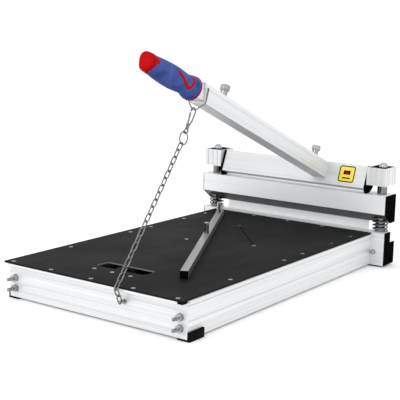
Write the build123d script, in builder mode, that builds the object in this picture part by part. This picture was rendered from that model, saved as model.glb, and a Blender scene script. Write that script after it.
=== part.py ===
"""Guillotine flooring cutter: a table on aluminium rails, a sprung blade beam on two posts,
a cam bar that drives the beam down, a telescopic lever and a hold-down chain.

Millimetres, +Z up, the front of the table towards -Y, origin on the floor under the centre
of the bounding box. The lever is down and the blade is closed at rest.
"""
from build123d import *
from math import atan2, cos, degrees, hypot, radians, sin
import os

# ---------------------------------------------------------------- driving dimensions
table_width = 380.0
table_length = 634.5
table_top = 68.0
plate_thick = 3.0
front_y = -334.0            # front edge of the table plate

groove_width = 2.0          # decorative grooves of the extrusions
groove_depth = 0.9
rail_bottom = 3.4
web_thick = 3.0
lip_thick = 3.5             # edges of the rails that carry and frame the plate
front_lip_half = 180.0
front_flange_depth = 12.0
front_web_inset = 13.5      # the front rail's wall behind the plate's edge
side_web_x = 190.5          # outer face of the side rails' walls
flange_inner_x = 168.0
front_bolt_x = 176.5
front_bolt_radius = 3.0
member_bottom = 47.0        # cross members under the plate
front_bolt_heights = (37.5, 19.5)

beam_half = 219.4           # both beams, without their end caps
beam_cap_thick = 2.0
lower_beam_top = 70.0
lower_beam_depth = 45.2
ledge_z = 48.0              # step behind the shear edge
spring_seat_radius = 17.0
ledge_half = 178.0
anvil_depth = 24.8          # from the lower beam's front face to the shear edge
anvil_width = 7.3
anvil_height = 6.0
foot_length = 40.4          # front feet
foot_height = 15.0

post_x = 200.0
post_radius = 10.0
post_setback = 20.0         # from the lower beam's front face
post_top = 190.0
post_depth = 50.0           # how far each post goes into the lower beam
mount_bolt_x = 197.0
mount_bolt_z = 29.5
mount_bolt_radius = 3.0
mount_bolt_depth = 8.0
spring_top = 104.0
spring_radius = 16.0
spring_wire = 3.0
spring_turns = 4.5

blade_beam_top = 145.6
blade_beam_bottom = 88.0
blade_beam_chamfer_z = 107.5
blade_beam_chamfer_run = 26.0
blade_beam_advance = 4.5    # its front face before the lower beam's
blade_beam_depth = 46.4
blade_half = 172.0
blade_thick = 3.2
blade_edge_z = 67.0
blade_top_z = 108.0
blade_screw_row = (-150.0, -75.0, 0.0, 75.0, 150.0)
blade_screw_z = 98.0
blade_screw_radius = 2.5
bush_radius = 13.0
shear_gap = 0.4

block_inner_x = 176.0
block_outer_x = 217.0
block_bottom = 164.5
block_top = 200.0
block_depth = 49.7
block_wall = 2.5            # bright rim around the cover
cover_thick = 2.0
cap_bolt_radius = 9.0
cap_bolt_height = 9.6

pivot_z = 181.0
pivot_setback = 20.5        # from the lower beam's front face
pivot_radius = 6.0
running_gap = 0.05          # radial clearance of pins, posts and screws
clear_gap = 0.3             # between pieces that slide past each other
cam_rise = 13.9             # beam travel for each radian of lever
cam_swing = 76.0            # degrees of working edge
cam_plate_thick = 4.0
cam_plate_proud = 1.5

lever_angle = 22.0          # above the horizontal
lever_x = 66.5
lever_foot_y = front_y + 639.6
lever_foot_z = 183.2
bar_half = 171.0
bar_depth = 24.0
bar_bottom_u = -28.4        # the cam bar's front face, from the lever's axis
bar_top_u = 18.1
tube_width = 32.0
tube_height = 33.0
tube_wall = 3.0
tube_end_y = front_y + 199.5
stub_length = 62.0
knob_places = (38.0, 402.0)     # socket knob and extension knob, along the lever
knob_shank_radius = 3.0
knob_head_up = 29.0         # underside of the knob's head, from the lever's axis
knob_head_radius = 8.75
knob_head_height = 10.0
inner_start = 335.0         # places along the lever, from the cam bar's front face
ring_start = 494.0
grip_start = 497.5
grip_end = 616.0
cap_end = 631.5
core_start = 508.0
core_radius = 11.0
label_x = 128.0
label_size = (35.7, 34.5)

bail_wire = 2.2
bail_pivot_y = front_y + 206.2
bail_pivot_z = 368.7
bail_bar_y = front_y + 189.0
bail_bar_z = 333.4

chain_x = lever_x
chain_wire = 2.3
link_width = 10.0
tail_link_count = 2
chain_link_count = 20
eye_spot = (front_y + 3.5, 41.0)
eye_shank_radius = 2.0
eye_ring_radius = 4.0
lip_spot = (front_y - 8.6, 66.0)
ring_centre = (front_y + 161.5, 287.9)
ring_radius = 10.9
ring_wire = 2.2
hook_eye_centre = (front_y + 167.2, 299.1)
hook_wire = 2.4
gate_wire = 3.2

fence_width = 13.6
fence_height = 13.0
fence_wall = 1.5
fence_angle = 28.0          # from the table's length
fence_pivot = (-117.0, front_y + 541.0)
fence_ahead = 495.0         # from the pivot post to the front end
fence_behind = 42.0
fence_lock_distance = 206.0
fence_pin_height = 21.0     # above the bar
fence_post_radius = 4.0
fence_lock_radius = 3.0

# ---------------------------------------------------------------- derived places
plate_bottom = table_top - plate_thick
rail_front = front_y + front_web_inset
side_web_inner = side_web_x - web_thick
beam_front = front_y + table_length
anvil_y = beam_front + anvil_depth
beam_back = beam_front + lower_beam_depth
lower_beam_section = [(beam_front, rail_bottom), (beam_front, lower_beam_top),
                      (anvil_y, lower_beam_top), (anvil_y, ledge_z), (beam_back, ledge_z),
                      (beam_back, rail_bottom)]
post_y = beam_front + post_setback
pivot_y = beam_front + pivot_setback
blade_beam_front = beam_front - blade_beam_advance
blade_beam_back = blade_beam_front + blade_beam_depth
block_front = blade_beam_front
block_middle_x = (block_inner_x + block_outer_x) / 2
blade_beam_section = [(blade_beam_front, blade_beam_chamfer_z),
                      (blade_beam_front, blade_beam_top), (blade_beam_back, blade_beam_top),
                      (blade_beam_back, blade_beam_bottom),
                      (blade_beam_front + blade_beam_chamfer_run, blade_beam_bottom)]
cam_rest_depth = pivot_z - blade_beam_top - clear_gap

lever_dir = Vector(0, -cos(radians(lever_angle)), sin(radians(lever_angle)))
lever_up = Vector(0, sin(radians(lever_angle)), cos(radians(lever_angle)))
lever_foot = Vector(lever_x, lever_foot_y, lever_foot_z)
inner_width = tube_width - 2 * tube_wall
inner_height = tube_height - 2 * tube_wall

# The places of screws in the table: distance behind the front edge, then X of each.
screw_rows = {
    8.0: (-175, -88, 0, 88, 175),
    60.5: (-39, 0, 39),
    150.0: (-175, 175),
    320.0: (-175, 175),
    385.0: (-175, 175),
    497.0: (-175, 175),
    574.0: (-175, 175),
    627.0: (-83, 0, 83),
}
mitre_start = (-47.6, front_y + 514.0)
mitre_end = (73.7, front_y + 380.0)
mitre_width = 2.0
mitre_depth = 0.5
stop_spot = (-54.3, front_y + 341.6)
screw_spots = [(x, front_y + y) for y, row in screw_rows.items() for x in row]
screw_spots += [mitre_start, mitre_end, stop_spot]
screw_radius = 2.0
screw_head_radius = 3.6
screw_recess = (4.4, 0.9)

chain_run = Vector(ring_centre[0] - lip_spot[0], ring_centre[1] - lip_spot[1])
chain_dir = chain_run.normalized()
ring_inner = ring_radius - ring_wire / 2
ring_end = (ring_centre[0] - ring_inner * chain_dir.X, ring_centre[1] - ring_inner * chain_dir.Y)
chain_start = (lip_spot[0] - 0.5 * chain_dir.X, lip_spot[1] - 0.5 * chain_dir.Y)

hand_slot_spot = (0.0, front_y + 95.0)
hand_slot_size = (106.0, 34.0)


# ---------------------------------------------------------------- helpers
def lever_point(along, up=0.0):
    """A point given along the lever from the cam bar and above the lever's axis."""
    return lever_foot + lever_dir * along + lever_up * up


def lever_section(along):
    """Section plane of the lever: local x is X, local y is up, extruding outwards."""
    return Plane(origin=lever_point(along), x_dir=(1, 0, 0), z_dir=lever_dir)


def top_plane(along, up):
    """Plane that faces away from the lever's upper side."""
    return Plane(origin=lever_point(along, up), x_dir=(1, 0, 0), z_dir=lever_up)


def twin_of(piece):
    """Mirror image of a right-hand piece in the plane X = 0."""
    with BuildPart() as twin:
        mirror(piece.part, about=Plane.YZ)
    return twin


def wire_link(plane, length, width, diameter):
    """Closed link of round wire around the plane's origin, long in local x."""
    reach = (width - diameter) / 2
    run = (length - diameter) / 2 - reach
    with BuildPart() as link:
        with BuildLine(plane):
            side = Line((-run, reach), (run, reach))
            ThreePointArc((run, reach), (run + reach, 0), (run, -reach))
            Line((run, -reach), (-run, -reach))
            ThreePointArc((-run, -reach), (-run - reach, 0), (-run, reach))
        with BuildSketch(Plane(origin=side @ 0, z_dir=side % 0)):
            Circle(diameter / 2)
        sweep()
    return link


def link_row(start, end, count, first_flat):
    """Row of links between two (y, z) spots, each turned a quarter from the last."""
    along = Vector(0, end[0] - start[0], end[1] - start[1])
    pitch = along.length / count
    along = along.normalized()
    across = Vector(1, 0, 0)
    begin = Vector(chain_x, *start)
    with BuildPart() as row:
        for index in range(count):
            flat = (index % 2 == 0) == first_flat
            normal = along.cross(across) if flat else across
            middle = begin + along * (pitch * (index + 0.5))
            plane = Plane(origin=middle, x_dir=along, z_dir=normal)
            add(wire_link(plane, pitch + 2 * chain_wire + 0.1, link_width, chain_wire).part)
    return row


# ---------------------------------------------------------------- table
def make_table_plate():
    groove_run = hypot(mitre_end[0] - mitre_start[0], mitre_end[1] - mitre_start[1]) - 10.0
    groove_angle = degrees(atan2(mitre_end[1] - mitre_start[1], mitre_end[0] - mitre_start[0]))
    groove_middle = ((mitre_start[0] + mitre_end[0]) / 2, (mitre_start[1] + mitre_end[1]) / 2)
    with BuildPart() as plate:
        with BuildSketch(Plane.XY.offset(plate_bottom)):
            with Locations((0, front_y + table_length / 2)):
                Rectangle(table_width, table_length)
            with Locations(hand_slot_spot):
                RectangleRounded(*hand_slot_size, radius=7.0, mode=Mode.SUBTRACT)
        extrude(amount=plate_thick)
        with Locations([(x, y, table_top) for x, y in screw_spots]):
            CounterSinkHole(screw_radius, screw_head_radius, plate_thick, counter_sink_angle=90)
        with BuildSketch(Plane.XY.offset(table_top)):
            with Locations(groove_middle):
                Rectangle(groove_run, mitre_width, rotation=groove_angle)
        extrude(amount=-mitre_depth, mode=Mode.SUBTRACT)
    return plate


def make_plate_screws():
    cone = screw_head_radius - screw_radius
    with BuildPart() as screw:
        with BuildSketch(Plane.XZ):
            with BuildLine():
                Polyline((0, 0), (screw_head_radius, 0), (screw_radius, -cone),
                         (screw_radius, -plate_thick), (0, -plate_thick), close=True)
            make_face()
        revolve(axis=Axis.Z)
        with BuildSketch(Plane.XY):
            Rectangle(*screw_recess)
            Rectangle(*reversed(screw_recess))
        extrude(amount=-0.9, mode=Mode.SUBTRACT)
    with BuildPart() as screws:
        with Locations([(x, y, table_top) for x, y in screw_spots]):
            add(screw.part)
    return screws


def make_corner_plugs():
    """Black fillers under the plate's front corners, between the rails' lips."""
    inner_x = front_lip_half + clear_gap
    depth = 12.0
    with BuildPart() as plugs:
        with BuildSketch(Plane.XY.offset(plate_bottom)):
            for side in (-1, 1):
                with Locations((side * (inner_x + table_width / 2) / 2, front_y + depth / 2)):
                    Rectangle(table_width / 2 - inner_x, depth)
        extrude(amount=-lip_thick)
    return plugs


# ---------------------------------------------------------------- rails and members
def make_front_rail():
    lip_front = front_y - 1.5
    lip_bottom = plate_bottom - lip_thick
    web_back = rail_front + web_thick
    flange_back = web_back + front_flange_depth
    flange_top = rail_bottom + web_thick
    bolt_spots = [(side * front_bolt_x, z) for side in (-1, 1) for z in front_bolt_heights]
    with BuildPart() as rail:
        with BuildSketch(Plane.YZ):
            with BuildLine():
                Polyline((lip_front, plate_bottom), (web_back, plate_bottom),
                         (web_back, flange_top), (flange_back, flange_top),
                         (flange_back, rail_bottom), (rail_front, rail_bottom),
                         (rail_front, lip_bottom), (lip_front, lip_bottom), close=True)
            make_face()
            with Locations((rail_front, 14.0), (rail_front, 29.0), (rail_front, 48.0)):
                Rectangle(2 * groove_depth, groove_width, mode=Mode.SUBTRACT)
        extrude(amount=side_web_inner, both=True)
        with BuildSketch(Plane.XY.offset(plate_bottom)):
            for side in (-1, 1):
                with Locations((side * (front_lip_half + table_width / 2) / 2, front_y + 3.5)):
                    Rectangle(table_width / 2 - front_lip_half, 20.0)
        extrude(amount=-10.0, mode=Mode.SUBTRACT)
        with BuildSketch(Plane.XZ.offset(-web_back)):
            with Locations(bolt_spots):
                Circle(front_bolt_radius)
            with Locations((chain_x, eye_spot[1])):
                Circle(eye_shank_radius)
        extrude(amount=web_thick, mode=Mode.SUBTRACT)
        with BuildSketch(Plane.XY.offset(rail_bottom)):
            for side in (-1, 1):
                with Locations((side * (flange_inner_x + 12.0),
                                web_back + front_flange_depth / 2)):
                    Rectangle(24.0, front_flange_depth)
        extrude(amount=web_thick, mode=Mode.SUBTRACT)
    return rail


def make_right_rail():
    end_y = beam_front
    web_back = rail_front + web_thick
    lip_x = side_web_x + 3.0
    with BuildPart() as rail:
        with BuildSketch(Plane.XZ.offset(-end_y)):
            with BuildLine():
                Polyline((side_web_x, 18.0), (side_web_x - 0.8, 18.0), (side_web_x - 0.8, 3.4),
                         (flange_inner_x, 3.4), (flange_inner_x, 6.4), (side_web_inner, 6.4),
                         (side_web_inner, 62.0), (flange_inner_x, 62.0),
                         (flange_inner_x, plate_bottom), (lip_x, plate_bottom),
                         (lip_x, 61.5), (side_web_x, 61.5), (side_web_x, 52.5))
                ThreePointArc((side_web_x, 52.5), (side_web_x + 1.5, 43.0), (side_web_x, 33.5))
                Line((side_web_x, 33.5), (side_web_x, 30.5))
                ThreePointArc((side_web_x, 30.5), (side_web_x + 1.2, 25.4), (side_web_x, 20.3))
                Line((side_web_x, 20.3), (side_web_x, 18.0))
            make_face()
            for z in front_bolt_heights:
                with Locations((front_bolt_x, z)):
                    Circle(2 * front_bolt_radius)
                with Locations(((front_bolt_x + side_web_inner) / 2, z)):
                    Rectangle(side_web_inner - front_bolt_x, 4.0)
            with Locations([(front_bolt_x, z) for z in front_bolt_heights]):
                Circle(front_bolt_radius, mode=Mode.SUBTRACT)
            with Locations((side_web_x, 32.0), (side_web_x, 57.0)):
                Rectangle(2 * groove_depth, groove_width, mode=Mode.SUBTRACT)
        extrude(amount=end_y - rail_front)
        with BuildSketch(Plane.XY.offset(plate_bottom)):
            with Locations(((flange_inner_x + side_web_inner) / 2, rail_front + web_thick / 2)):
                Rectangle(side_web_inner - flange_inner_x, web_thick)
        extrude(amount=-plate_bottom, mode=Mode.SUBTRACT)
    return rail


def make_cross_member(middle_distance, depth):
    """Channel under the table, open downwards, notched over the rails' flanges."""
    middle_y = front_y + middle_distance
    middle_z = (plate_bottom + member_bottom) / 2
    height = plate_bottom - member_bottom
    with BuildPart() as member:
        with BuildSketch(Plane.YZ):
            with Locations((middle_y, middle_z)):
                Rectangle(depth, height)
            with Locations((middle_y, middle_z - web_thick)):
                Rectangle(depth - 2 * web_thick, height, mode=Mode.SUBTRACT)
        extrude(amount=side_web_inner, both=True)
        with BuildSketch(Plane.XY.offset(plate_bottom)):
            for side in (-1, 1):
                with Locations((side * (flange_inner_x + 10.0), middle_y)):
                    Rectangle(20.0, depth)
        extrude(amount=-web_thick, mode=Mode.SUBTRACT)
    return member


def make_front_rail_bolts():
    """Washer, hex nut and stud end at each corner of the front rail."""
    washer_thick = 1.5
    nut_height = 6.0
    stud_end = 5.5
    with BuildPart() as bolt:
        with BuildSketch(Plane.XZ):
            Circle(6.5)
        extrude(amount=washer_thick)
        with BuildSketch(Plane.XZ.offset(washer_thick)):
            RegularPolygon(radius=6.2, side_count=6)
        extrude(amount=nut_height)
        with BuildSketch(Plane.XZ.offset(washer_thick + nut_height)):
            Circle(front_bolt_radius)
        extrude(amount=stud_end)
        chamfer(bolt.faces().sort_by(Axis.Y)[0].edges(), length=0.7)
        with BuildSketch(Plane.XZ):
            Circle(front_bolt_radius)
        extrude(amount=-25.0)
    spots = [(side * front_bolt_x, rail_front, z) for side in (-1, 1)
             for z in front_bolt_heights]
    with BuildPart() as bolts:
        with Locations(spots):
            add(bolt.part)
    return bolts


# ---------------------------------------------------------------- lower beam
def make_lower_beam():
    post_spots = [(side * post_x, post_y) for side in (-1, 1)]
    bolt_spots = [(side * mount_bolt_x, mount_bolt_z) for side in (-1, 1)]
    with BuildPart() as beam:
        with BuildSketch(Plane.YZ):
            with BuildLine():
                Polyline(*lower_beam_section, close=True)
            make_face()
            with Locations((beam_front, 60.5), (beam_front, 12.0)):
                Rectangle(2 * groove_depth, groove_width, mode=Mode.SUBTRACT)
        extrude(amount=beam_half, both=True)
        with BuildSketch(Plane.XY.offset(ledge_z)):
            with Locations(post_spots):
                Circle(spring_seat_radius)
        extrude(amount=lower_beam_top - ledge_z)
        with BuildSketch(Plane.XY.offset(lower_beam_top)):
            with Locations((0, anvil_y - anvil_width / 2)):
                Rectangle(2 * ledge_half, anvil_width)
        extrude(amount=-anvil_height, mode=Mode.SUBTRACT)
        with BuildSketch(Plane.XY.offset(lower_beam_top)):
            with Locations(post_spots):
                Circle(post_radius)
        extrude(amount=-post_depth, mode=Mode.SUBTRACT)
        with BuildSketch(Plane.XZ.offset(-beam_front)):
            with Locations(bolt_spots):
                Circle(mount_bolt_radius)
        extrude(amount=-mount_bolt_depth, mode=Mode.SUBTRACT)
    return beam


def make_lower_beam_cap():
    with BuildPart() as cap:
        with BuildSketch(Plane.YZ.offset(beam_half)):
            with BuildLine():
                Polyline(*lower_beam_section, close=True)
            make_face()
        extrude(amount=beam_cap_thick)
        chamfer(cap.faces().sort_by(Axis.X)[-1].edges(), length=0.8)
    return cap


def make_anvil_strip():
    with BuildPart() as strip:
        with BuildSketch(Plane.YZ):
            with Locations((anvil_y - anvil_width / 2, lower_beam_top - anvil_height / 2)):
                Rectangle(anvil_width, anvil_height)
        extrude(amount=ledge_half, both=True)
    return strip


def make_beam_mount_bolts():
    """Washer, hex nut and stud at each end of the lower beam's front face."""
    with BuildPart() as bolt:
        with BuildSketch(Plane.XZ):
            Circle(5.0)
        extrude(amount=1.2)
        with BuildSketch(Plane.XZ.offset(1.2)):
            RegularPolygon(radius=4.7, side_count=6)
        extrude(amount=3.6)
        chamfer(bolt.faces().sort_by(Axis.Y)[0].edges(), length=0.6)
        with BuildSketch(Plane.XZ):
            Circle(mount_bolt_radius)
        extrude(amount=-mount_bolt_depth)
    with BuildPart() as bolts:
        with Locations([(side * mount_bolt_x, beam_front, mount_bolt_z) for side in (-1, 1)]):
            add(bolt.part)
    return bolts


def make_front_foot():
    """Pad under the rail's corner with a flap up its outer side."""
    pad_inner = 171.0
    flap_inner = side_web_x - 0.8
    outer = side_web_x + 4.0
    middle_y = rail_front + foot_length / 2
    with BuildPart() as foot:
        with BuildSketch(Plane.XY):
            with Locations(((pad_inner + outer) / 2, middle_y)):
                Rectangle(outer - pad_inner, foot_length)
        extrude(amount=rail_bottom)
        with BuildSketch(Plane.XY.offset(rail_bottom)):
            with Locations(((flap_inner + outer) / 2, middle_y)):
                Rectangle(outer - flap_inner, foot_length)
        extrude(amount=foot_height - rail_bottom)
        fillet(foot.edges().filter_by(Axis.Z).group_by(Axis.X)[-1], radius=2.5)
    return foot


def make_rear_foot():
    with BuildPart() as foot:
        with BuildSketch(Plane.XY):
            with Locations((198.0, (beam_front + beam_back) / 2)):
                RectangleRounded(32.0, 38.0, radius=4.0)
        extrude(amount=rail_bottom)
    return foot


# ---------------------------------------------------------------- posts, springs and blocks
def make_post():
    with BuildPart() as post:
        with BuildSketch(Plane.XY.offset(lower_beam_top - post_depth)):
            with Locations((post_x, post_y)):
                Circle(post_radius)
        extrude(amount=post_top - lower_beam_top + post_depth)
    return post


def make_spring():
    rise = spring_top - lower_beam_top - spring_wire
    start_z = lower_beam_top + spring_wire / 2
    mean_radius = spring_radius - spring_wire / 2
    with BuildPart() as spring:
        with BuildLine():
            coil = Helix(pitch=rise / spring_turns, height=rise, radius=mean_radius,
                         center=(post_x, post_y, start_z))
        with BuildSketch(Plane(origin=coil @ 0, z_dir=coil % 0)):
            Circle(spring_wire / 2 - 0.02)
        sweep(is_frenet=True)
    return spring


def make_cap_block():
    width = block_outer_x - block_inner_x
    middle_y = block_front + block_depth / 2
    front_grooves = [(block_middle_x + dx, block_front) for dx in (-12.0, 0.0, 12.0)]
    side_grooves = [(x, middle_y + dy) for x in (block_inner_x, block_outer_x)
                    for dy in (-18.0, -9.0, 9.0, 18.0)]
    with BuildPart() as block:
        with BuildSketch(Plane.XY.offset(block_bottom)):
            with Locations((block_middle_x, middle_y)):
                Rectangle(width, block_depth)
            with Locations(front_grooves):
                Rectangle(groove_width, 2 * groove_depth, mode=Mode.SUBTRACT)
            with Locations(side_grooves):
                Rectangle(2 * groove_depth, groove_width, mode=Mode.SUBTRACT)
        extrude(amount=block_top - block_bottom)
        with BuildSketch(Plane.XY.offset(block_top)):
            with Locations((block_middle_x, middle_y)):
                Rectangle(width - 2 * block_wall, block_depth - 2 * block_wall)
        extrude(amount=-cover_thick, mode=Mode.SUBTRACT)
        with BuildSketch(Plane.XY.offset(block_bottom)):
            with Locations((post_x, post_y)):
                Circle(post_radius)
        extrude(amount=post_top - block_bottom, mode=Mode.SUBTRACT)
        with BuildSketch(Plane.YZ.offset(block_inner_x)):
            with Locations((pivot_y, pivot_z)):
                Circle(pivot_radius + running_gap)
        extrude(amount=12.5, mode=Mode.SUBTRACT)
    return block


def make_cap_block_covers():
    with BuildPart() as covers:
        with BuildSketch(Plane.XY.offset(block_top - cover_thick)):
            for side in (-1, 1):
                with Locations((side * block_middle_x, block_front + block_depth / 2)):
                    Rectangle(block_outer_x - block_inner_x - 2 * block_wall,
                              block_depth - 2 * block_wall)
        extrude(amount=cover_thick)
    return covers


def make_cap_bolts():
    """Domed bolt head over each post."""
    with BuildPart() as bolt:
        with BuildSketch(Plane.XY):
            Circle(cap_bolt_radius)
        extrude(amount=cap_bolt_height)
        fillet(bolt.faces().sort_by(Axis.Z)[-1].edges(), radius=5.2)
        with BuildSketch(Plane.XY.offset(cap_bolt_height)):
            RegularPolygon(radius=3.2, side_count=6)
        extrude(amount=-3.5, mode=Mode.SUBTRACT)
    with BuildPart() as bolts:
        with Locations([(side * post_x, post_y, block_top) for side in (-1, 1)]):
            add(bolt.part)
    return bolts


# ---------------------------------------------------------------- blade beam
def make_blade_beam():
    groove_z = 128.5
    blade_y = anvil_y + shear_gap
    with BuildPart() as beam:
        with BuildSketch(Plane.YZ):
            with BuildLine():
                Polyline(*blade_beam_section, close=True)
            make_face()
            with Locations((blade_beam_front, groove_z), (blade_beam_back, groove_z)):
                Rectangle(2 * groove_depth, groove_width, mode=Mode.SUBTRACT)
        extrude(amount=beam_half, both=True)
        with BuildSketch(Plane.XY.offset(blade_beam_bottom)):
            with Locations((0, blade_y + blade_thick / 2)):
                Rectangle(2 * blade_half, blade_thick)
        extrude(amount=blade_top_z - blade_beam_bottom, mode=Mode.SUBTRACT)
        with BuildSketch(Plane.XY.offset(blade_beam_bottom)):
            with Locations([(side * post_x, post_y) for side in (-1, 1)]):
                Circle(spring_radius + 1.0)
        extrude(amount=spring_top - blade_beam_bottom, mode=Mode.SUBTRACT)
        with BuildSketch(Plane.XY.offset(spring_top)):
            with Locations([(side * post_x, post_y) for side in (-1, 1)]):
                Circle(bush_radius)
        extrude(amount=blade_beam_top - spring_top, mode=Mode.SUBTRACT)
        with BuildSketch(Plane.XZ.offset(-blade_beam_back)):
            with Locations([(x, blade_screw_z) for x in blade_screw_row]):
                Circle(blade_screw_radius)
        extrude(amount=blade_beam_back - blade_y - blade_thick, mode=Mode.SUBTRACT)
    return beam


def make_blade_beam_cap():
    with BuildPart() as cap:
        with BuildSketch(Plane.YZ.offset(beam_half)):
            with BuildLine():
                Polyline(*blade_beam_section, close=True)
            make_face()
        extrude(amount=beam_cap_thick)
        chamfer(cap.faces().sort_by(Axis.X)[-1].edges(), length=0.8)
    return cap


def make_blade():
    blade_y = anvil_y + shear_gap
    with BuildPart() as blade:
        with BuildSketch(Plane.YZ):
            with BuildLine():
                Polyline((blade_y, blade_top_z), (blade_y + blade_thick, blade_top_z),
                         (blade_y + blade_thick, blade_edge_z + 9.0),
                         (blade_y + 0.4, blade_edge_z), (blade_y, blade_edge_z), close=True)
            make_face()
        extrude(amount=blade_half, both=True)
    return blade


def make_blade_screws():
    """Socket screws that hold the blade from behind."""
    reach = blade_beam_back - anvil_y - shear_gap - blade_thick
    with BuildPart() as screw:
        with BuildSketch(Plane.XZ):
            Circle(blade_screw_radius)
        extrude(amount=reach)
        with BuildSketch(Plane.XZ):
            Circle(4.5)
        extrude(amount=-4.0)
        with BuildSketch(Plane.XZ.offset(-4.0)):
            RegularPolygon(radius=2.2, side_count=6)
        extrude(amount=2.5, mode=Mode.SUBTRACT)
    with BuildPart() as screws:
        with Locations([(x, blade_beam_back, blade_screw_z) for x in blade_screw_row]):
            add(screw.part)
    return screws


def make_guide_bush():
    """Plain sleeve between the beam and its post, flush with the beam's top."""
    with BuildPart() as bush:
        with BuildSketch(Plane.XY.offset(spring_top)):
            with Locations((post_x, post_y)):
                Circle(bush_radius)
                Circle(post_radius + running_gap, mode=Mode.SUBTRACT)
        extrude(amount=blade_beam_top - spring_top)
    return bush


# ---------------------------------------------------------------- cam bar and lever
def make_cam_bar():
    section = Plane(origin=(0, lever_foot_y, lever_foot_z), x_dir=(1, 0, 0), z_dir=lever_dir)
    with BuildPart() as bar:
        with BuildSketch(section):
            with Locations((0, (bar_bottom_u + bar_top_u) / 2)):
                Rectangle(2 * bar_half, bar_top_u - bar_bottom_u)
        extrude(amount=-bar_depth)
        chamfer(bar.edges().filter_by(Axis.X).sort_by(Axis.Z)[0], length=3.0)
        with BuildSketch(Plane.YZ):
            with Locations((pivot_y, pivot_z)):
                Circle(pivot_radius)
        extrude(amount=bar_half, both=True, mode=Mode.SUBTRACT)
    return bar


def cam_point(turn):
    """Point of the working edge whose support line is met after the lever turns by turn."""
    depth = cam_rest_depth - cam_rise * turn
    return (pivot_y + depth * sin(turn) - cam_rise * cos(turn),
            pivot_z - depth * cos(turn) - cam_rise * sin(turn))


def make_cam_plate():
    """End plate whose lower edge is an involute, so the beam follows the lever evenly."""
    edge = [cam_point(radians(cam_swing) * step / 8) for step in range(9)]
    front_top = lever_point(cam_plate_proud, bar_top_u)
    front_low = lever_point(cam_plate_proud, bar_bottom_u + 2.0)
    back_top = lever_point(-bar_depth, bar_top_u)
    with BuildPart() as plate:
        with BuildSketch(Plane.YZ.offset(bar_half)):
            with BuildLine():
                Spline(*edge)
                Polyline(edge[-1], (back_top.Y, back_top.Z), (front_top.Y, front_top.Z),
                         (front_low.Y, front_low.Z), (edge[0][0] - 9.0, edge[0][1] + 0.3),
                         edge[0])
            make_face()
            with Locations((pivot_y, pivot_z)):
                Circle(pivot_radius, mode=Mode.SUBTRACT)
        extrude(amount=cam_plate_thick)
    return plate


def make_pivot_pins():
    with BuildPart() as pins:
        for side in (-1, 1):
            with BuildSketch(Plane.YZ.offset(side * 188.0)):
                with Locations((pivot_y, pivot_z)):
                    Circle(pivot_radius)
            extrude(amount=-side * 188.0)
    return pins


def make_lever_tube():
    side_holes = Plane(origin=lever_foot, x_dir=(0, 1, 0), z_dir=(1, 0, 0))
    with BuildPart() as tube:
        with BuildSketch(lever_section(0)):
            RectangleRounded(tube_width, tube_height, radius=1.5)
            with Locations([(side * tube_width / 2, up) for side in (-1, 1)
                            for up in (7.6, -8.0)]):
                Rectangle(1.2, 1.2, mode=Mode.SUBTRACT)
            Rectangle(inner_width, inner_height, mode=Mode.SUBTRACT)
        extrude(amount=500.0)
        split(bisect_by=Plane(origin=(0, tube_end_y, 0), z_dir=(0, 1, 0)), keep=Keep.TOP)
        for place in knob_places:
            with BuildSketch(top_plane(place, 0)):
                Circle(knob_shank_radius + running_gap)
            extrude(amount=tube_height, mode=Mode.SUBTRACT)
        with BuildSketch(side_holes):
            with Locations((bail_pivot_y - lever_foot_y, bail_pivot_z - lever_foot_z)):
                Circle(bail_wire / 2 + running_gap)
        extrude(amount=tube_width, both=True, mode=Mode.SUBTRACT)
    return tube



def make_lever_stub():
    with BuildPart() as stub:
        with BuildSketch(lever_section(0)):
            Rectangle(inner_width, inner_height)
        extrude(amount=stub_length)
    return stub


def make_knob(place):
    """Fluted clamping knob on a short threaded shank through the tube's upper wall."""
    tip = inner_height / 2 + clear_gap
    neck = tube_height / 2 + clear_gap
    with BuildPart() as knob:
        with BuildSketch(top_plane(place, tip)):
            Circle(knob_shank_radius)
        extrude(amount=neck - tip)
        with BuildSketch(top_plane(place, neck)):
            Circle(6.2)
        extrude(amount=knob_head_up - neck)
        with BuildSketch(top_plane(place, knob_head_up)):
            Circle(knob_head_radius)
        extrude(amount=knob_head_height)
        rims = knob.edges().filter_by(GeomType.CIRCLE).sort_by(SortBy.RADIUS)[-2:]
        chamfer(rims, length=1.0)
        with BuildSketch(top_plane(place, knob_head_up)):
            with PolarLocations(knob_head_radius + 0.25, 24):
                Circle(0.75)
        extrude(amount=knob_head_height, mode=Mode.SUBTRACT)
    return knob


def make_label_plate():
    with BuildPart() as label:
        with BuildSketch(lever_section(0)):
            with Locations((label_x - lever_x, -3.6)):
                RectangleRounded(*label_size, radius=5.0)
        extrude(amount=0.4)
    return label


# ---------------------------------------------------------------- extension and grip
def make_extension_tube():
    """Square inner tube that ends in a round core for the grip."""
    with BuildPart() as tube:
        with BuildSketch(lever_section(inner_start)):
            RectangleRounded(inner_width - 2 * clear_gap, inner_height - 2 * clear_gap, 1.2)
        extrude(amount=core_start - inner_start)
        with BuildSketch(lever_section(inner_start)):
            Rectangle(inner_width - 5.0, inner_height - 5.0)
        extrude(amount=core_start - inner_start - 3.0, mode=Mode.SUBTRACT)
        with BuildSketch(lever_section(core_start)):
            Circle(core_radius)
        extrude(amount=grip_end - core_start)
    return tube


# Radius of the grip at places along the lever.
grip_profile = ((grip_start, 20.8), (504.0, 20.4), (514.0, 17.9), (526.0, 17.7),
                (552.0, 19.4), (588.0, 18.4), (606.0, 16.8), (grip_end, 16.2))


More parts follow.
